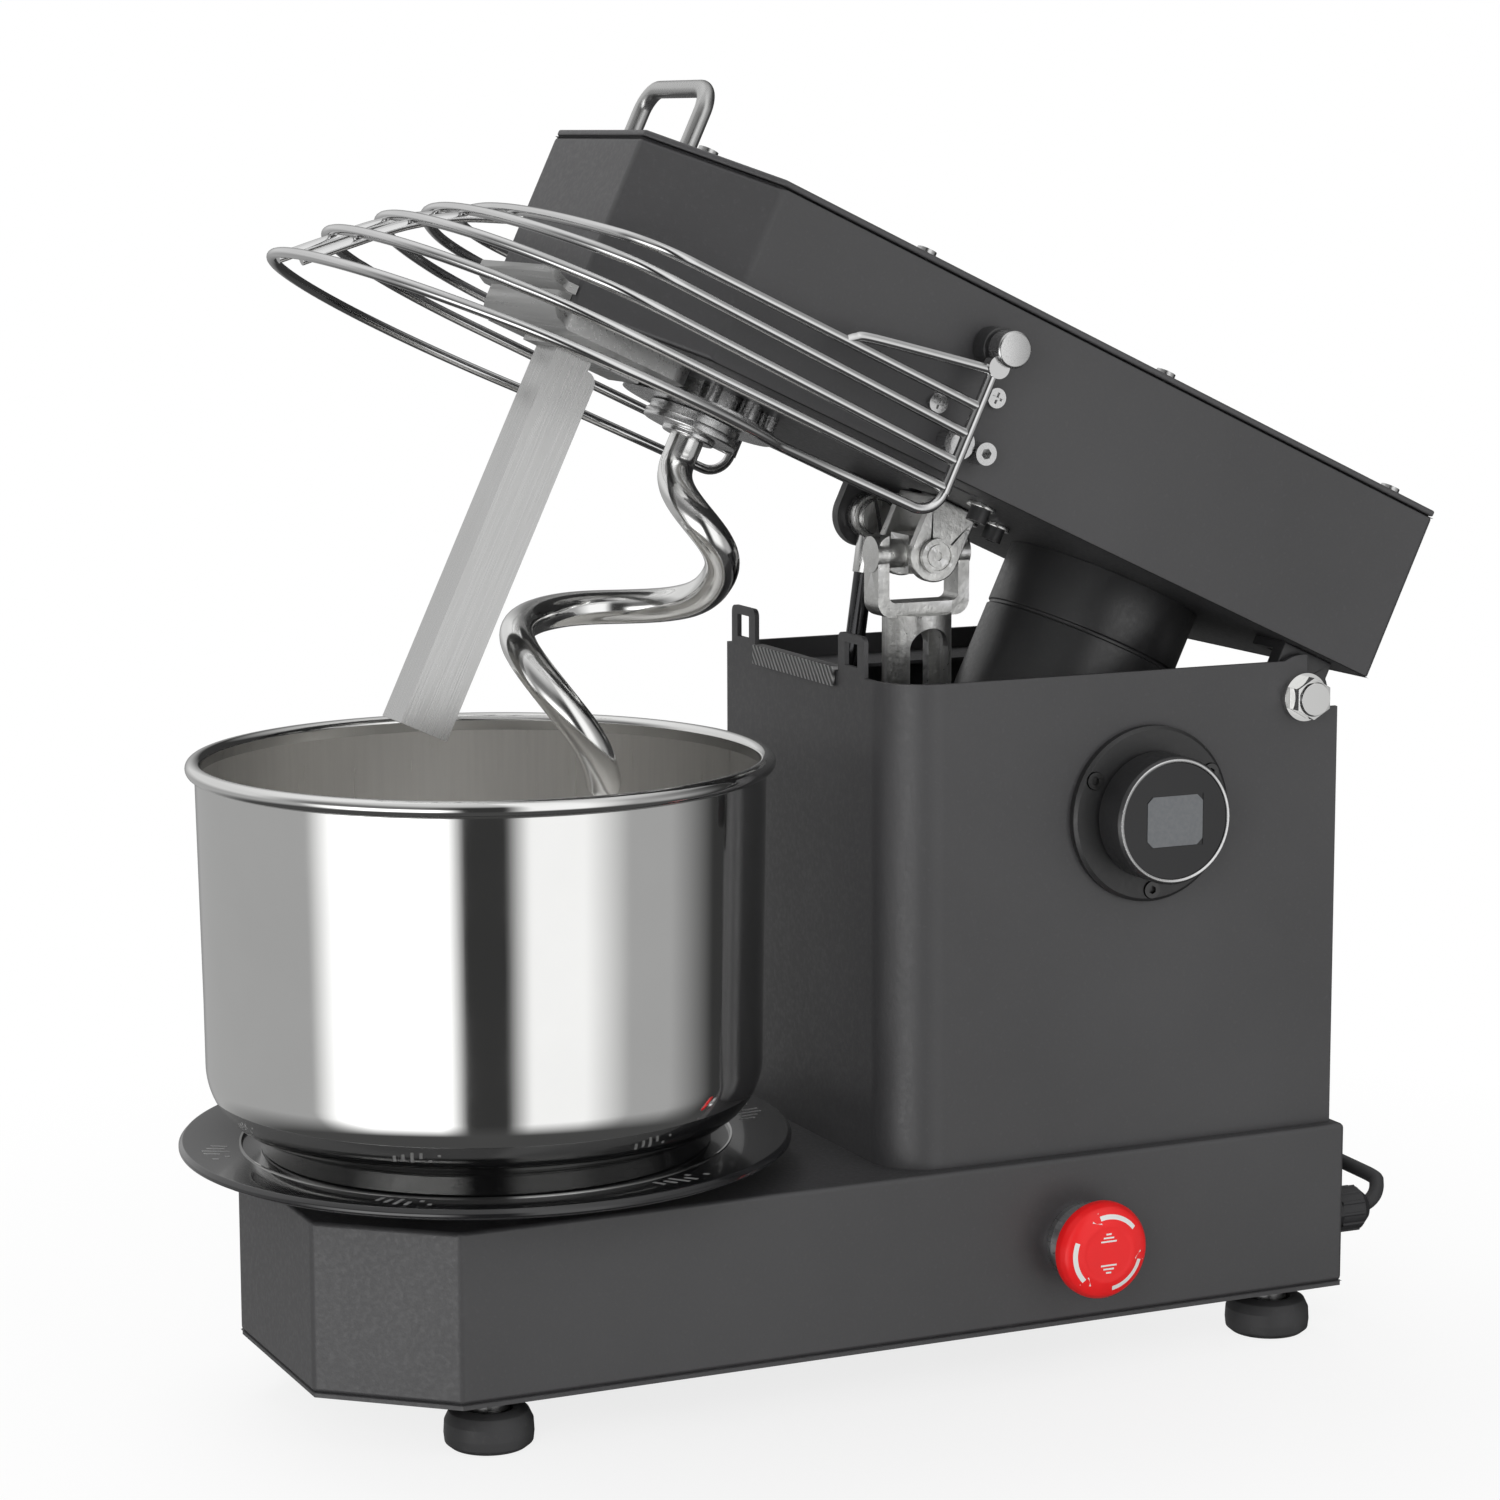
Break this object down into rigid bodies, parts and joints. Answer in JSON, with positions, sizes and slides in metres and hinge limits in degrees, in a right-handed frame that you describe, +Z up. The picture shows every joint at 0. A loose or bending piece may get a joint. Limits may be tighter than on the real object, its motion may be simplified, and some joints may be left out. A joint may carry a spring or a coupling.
{
  "type": "spiral dough mixer",
  "caption": "Bench-top spiral dough mixer with a tipping head, spiral hook, breaker bar, wire bowl guard, turning steel bowl, control knob and stop button",
  "frame": {"origin": "Centre of the bounding box at floor level, head tipped back as drawn", "axes": "+Z up; -Y the bowl end, +Y the hinge end; +X the side with the knob and the stop button. The head hinge, the guard hinge and the universal joint cross all lie along X"},
  "size_m": [0.2448, 0.513, 0.5231],
  "materials": {
    "graphite_paint": "fine matt powder coat, slight orange peel",
    "black_paint": "satin black",
    "gloss_black": "gloss black turntable",
    "polished_steel": "mirror-polished stainless steel",
    "brushed_steel": "brushed stainless steel",
    "bright_wire": "drawn stainless wire, bright",
    "zinc": "zinc-plated steel casting",
    "machined_steel": "turned steel",
    "aluminium": "turned aluminium",
    "bronze": "plain bearing bronze",
    "rubber": "matt rubber",
    "black_plastic": "moulded plastic",
    "red_plastic": "semi-gloss red",
    "dark_glass": "black glass",
    "display_grey": "unlit display",
    "board_green": "circuit board"
  },
  "bodies": {
    "base": {"base_housing": "graphite_paint", "base_plate": "graphite_paint", "rubber_feet": "rubber", "foot_screws": "zinc", "tower_shell": "graphite_paint", "rest_pad": "rubber", "inner_tray": "graphite_paint", "hinge_bolts": "polished_steel", "display_bezel": "graphite_paint", "bezel_screws": "machined_steel", "knob_glass": "dark_glass", "display_panel": "display_grey", "knob_encoder": "black_plastic", "stop_collar": "aluminium", "stop_contact_block": "black_plastic", "cable_gland": "black_plastic", "power_cord": "rubber", "control_board": "board_green", "base_bearings": "machined_steel", "turntable_bearing_housing": "aluminium", "base_belt": "rubber", "drive_bearing_bridge": "black_paint"},
    "turntable": {"turntable_platter": "gloss_black", "turntable_shaft": "machined_steel", "turntable_pulley": "aluminium"},
    "bowl": {"bowl": "polished_steel"},
    "drive_shaft": {"drive_shaft": "machined_steel"},
    "head": {"head_casing": "graphite_paint", "head_bottom_plate": "graphite_paint", "head_lid": "graphite_paint", "lid_screws": "machined_steel", "lift_handle": "brushed_steel", "under_shield": "graphite_paint", "hinge_brackets": "black_paint", "hinge_bushes": "bronze", "motor_cover": "black_paint", "motor_body": "machined_steel", "motor_belt": "rubber", "layshaft_housing": "aluminium", "cap_screws": "black_paint", "spiral_belt": "rubber", "spiral_bearings": "machined_steel", "spiral_bearing_housing": "machined_steel", "breaker_bar": "brushed_steel", "upper_yoke": "zinc", "gas_strut_bracket": "black_paint", "guard_bosses": "black_paint", "head_side_screws": "machined_steel"},
    "spiral": {"spiral_shaft": "machined_steel", "spiral_hook": "polished_steel"},
    "layshaft": {"layshaft": "aluminium"},
    "motor_rotor": {"motor_pulley": "aluminium"},
    "head_latch": {"head_latch": "zinc"},
    "guard": {"guard_wires": "bright_wire"},
    "lower_yoke": {"lower_yoke": "zinc"},
    "gas_strut_rod": {"gas_strut_rod": "zinc"},
    "gas_strut_tube": {"gas_strut_tube": "black_paint"},
    "knob": {"knob_ring": "black_paint"},
    "stop_stem": {"stop_stem": "aluminium"},
    "stop_button": {"stop_mushroom": "red_plastic"}
  },
  "joints": [
    {"name": "turntable_spin", "type": "hinge", "parent": "base", "child": "turntable", "pos_m": [0, -0.1343, 0.1], "axis": [0, 0, 1], "continuous": true},
    {"name": "bowl_lift", "type": "slide", "parent": "turntable", "child": "bowl", "axis": [0, 0, 1], "range_m": [0, 0.06]},
    {"name": "drive_shaft_spin", "type": "hinge", "parent": "base", "child": "drive_shaft", "pos_m": [0, 0.0467, 0.12], "axis": [0, 0, 1], "continuous": true},
    {"name": "head_tilt", "type": "hinge", "parent": "base", "child": "head", "pos_m": [0, 0.1957, 0.273], "axis": [-1, 0, 0], "range_deg": [-25, 0]},
    {"name": "spiral_spin", "type": "hinge", "parent": "head", "child": "spiral", "pos_m": [0, -0.04061, 0.39092], "axis": [0, 0.4226, 0.9063], "continuous": true},
    {"name": "layshaft_spin", "type": "hinge", "parent": "head", "child": "layshaft", "pos_m": [0, 0.08052, 0.37857], "axis": [0, 0.4226, 0.9063], "continuous": true},
    {"name": "motor_spin", "type": "hinge", "parent": "head", "child": "motor_rotor", "pos_m": [0, 0.15937, 0.3418], "axis": [0, 0.4226, 0.9063], "continuous": true},
    {"name": "latch_slide", "type": "slide", "parent": "head", "child": "head_latch", "axis": [0, 0.9063, -0.4226], "range_m": [0, 0.014]},
    {"name": "guard_swing", "type": "hinge", "parent": "head", "child": "guard", "pos_m": [0, 0.04736, 0.41985], "axis": [-1, 0, 0], "range_deg": [0, 60]},
    {"name": "lower_yoke_swing", "type": "hinge", "parent": "head", "child": "lower_yoke", "pos_m": [0, 0.05855, 0.33144], "axis": [-1, 0, 0], "range_deg": [-0.5, 25.5]},
    {"name": "strut_eye_swing", "type": "hinge", "parent": "head", "child": "gas_strut_rod", "pos_m": [-0.032, 0.05329, 0.34382], "axis": [-1, 0, 0], "range_deg": [-0.5, 22.5]},
    {"name": "strut_stroke", "type": "slide", "parent": "gas_strut_rod", "child": "gas_strut_tube", "axis": [0, 0.1407, 0.9901], "range_m": [-0.0005, 0.0685]},
    {"name": "knob_turn", "type": "hinge", "parent": "base", "child": "knob", "pos_m": [0.095, 0.1227, 0.23], "axis": [1, 0, 0], "continuous": true},
    {"name": "stop_push", "type": "slide", "parent": "base", "child": "stop_stem", "axis": [-1, 0, 0], "range_m": [0, 0.004], "stiffness_N_per_m": 300},
    {"name": "stop_twist", "type": "hinge", "parent": "stop_stem", "child": "stop_button", "pos_m": [0.105, 0.0907, 0.057], "axis": [1, 0, 0], "range_deg": [0, 30]}
  ],
  "couplings": [
    {"joint": "drive_shaft_spin", "follows": "turntable_spin", "ratio": 4},
    {"joint": "layshaft_spin", "follows": "turntable_spin", "ratio": 4},
    {"joint": "spiral_spin", "follows": "turntable_spin", "ratio": 8},
    {"joint": "motor_spin", "follows": "turntable_spin", "ratio": 12},
    {"joint": "lower_yoke_swing", "follows": "head_tilt", "ratio": -1},
    {"joint": "strut_eye_swing", "follows": "head_tilt", "ratio": -0.87179},
    {"joint": "strut_stroke", "follows": "head_tilt", "m_per_rad": -0.15601}
  ]
}
